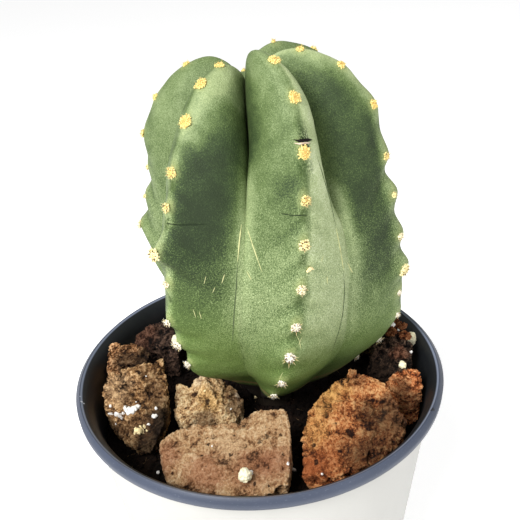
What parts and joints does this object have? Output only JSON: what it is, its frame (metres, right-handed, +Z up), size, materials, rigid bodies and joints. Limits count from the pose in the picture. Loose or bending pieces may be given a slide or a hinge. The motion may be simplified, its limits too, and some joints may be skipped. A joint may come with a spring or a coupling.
{
  "type": "potted cactus",
  "caption": "Single-stemmed ribbed cactus with woolly areoles, standing in a round plastic nursery pot that is dressed with lumps of lava rock.",
  "frame": {"origin": "on the surface that the pot stands on, under the middle of the lip", "axes": "+Z up along the pot's axis, -Y towards the front of the picture, +X to the right of the picture"},
  "size_m": [0.105, 0.105, 0.1772],
  "materials": {
    "cactus": "living skin, waxy grey-green, with cream wool at the areoles and a brown corky neck",
    "pot": "moulded plastic, slate-blue lip and pale grey wall",
    "soil": "dark damp potting soil with fine fibres",
    "lava_tan": "porous tan lava rock",
    "lava_rust": "porous rust-red lava rock",
    "lava_brown": "porous brown lava rock",
    "lava_dark": "crumbly dark brown lava rock",
    "perlite": "chalky off-white perlite"
  },
  "bodies": {
    "root": {"cactus": "cactus", "pot": "pot", "soil": "soil", "lava_rock_left": "lava_brown", "lava_rock_small": "lava_tan", "lava_rock_front": "lava_tan", "lava_rock_rust": "lava_rust", "lava_rock_edge": "lava_brown", "lava_rock_dark": "lava_dark", "lava_rock_right": "lava_dark", "lava_rock_corner": "lava_rust", "lava_rock_back_right": "lava_brown", "lava_rock_back": "lava_rust", "lava_rock_behind": "lava_brown", "lava_rock_back_left": "lava_tan", "perlite_right": "perlite", "perlite_left": "perlite", "perlite_gap": "perlite", "perlite_front": "perlite", "perlite_back_left": "perlite", "perlite_back_right": "perlite", "perlite_back": "perlite"}
  },
  "joints": []
}
